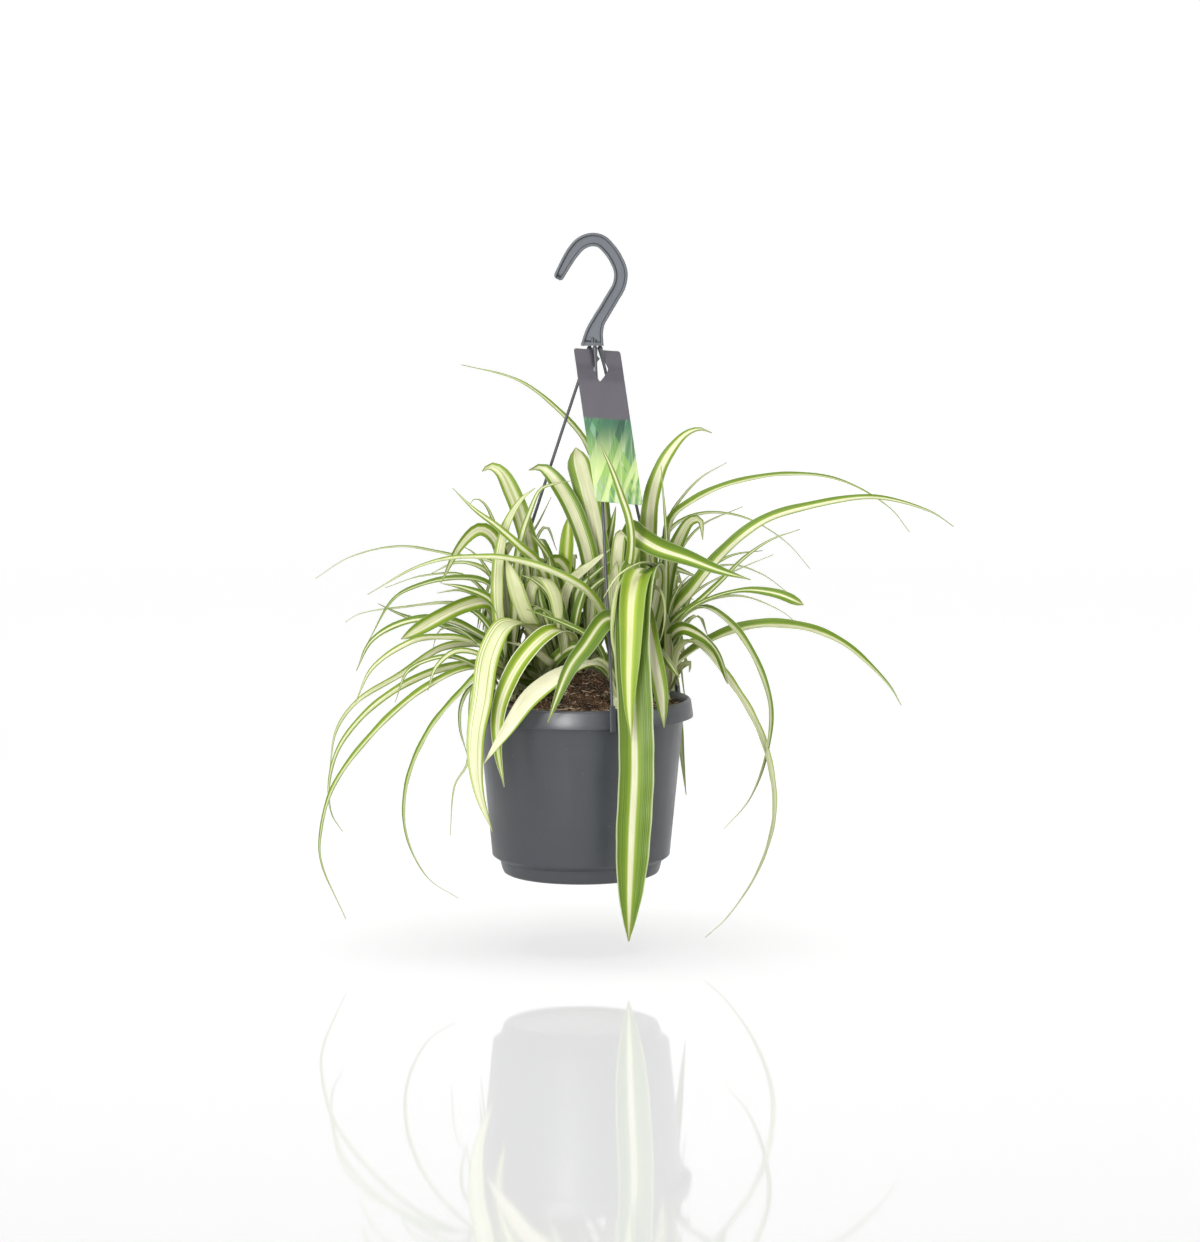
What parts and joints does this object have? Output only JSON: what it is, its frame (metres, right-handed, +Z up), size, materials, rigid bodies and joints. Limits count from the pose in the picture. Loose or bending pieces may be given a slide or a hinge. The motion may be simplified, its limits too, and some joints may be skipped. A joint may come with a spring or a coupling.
{
  "type": "potted spider plant",
  "caption": "Variegated spider plant with arching striped leaves in a dark plastic hanging pot, with a moulded hook, thin hanger legs and a hang tag.",
  "frame": {"origin": "bearing point on the inside of the hook's arch, where the hook hangs on a rail or peg", "axes": "+Z up; -Y towards the front, the side that is pictured; +X to the right as seen from the front"},
  "size_m": [0.4837, 0.3026, 0.5217],
  "materials": {
    "pot_plastic": "satin moulded",
    "insert_plastic": "plain moulded",
    "soil": "loose fibrous peat",
    "hook_plastic": "satin moulded",
    "leg_plastic": "satin moulded",
    "tag_plastic": "printed sheet, half dark and half green",
    "leaf": "satin leaf, green with a cream middle stripe"
  },
  "bodies": {
    "root": {"pot": "pot_plastic", "reservoir_insert": "insert_plastic", "soil": "soil", "hook": "hook_plastic", "leg_front": "leg_plastic", "leg_right": "leg_plastic", "leg_left": "leg_plastic", "tag": "tag_plastic", "rosette_left": "leaf", "rosette_middle": "leaf", "rosette_front": "leaf", "rosette_right": "leaf", "rosette_rear_left": "leaf", "rosette_rear_right": "leaf"}
  },
  "joints": []
}
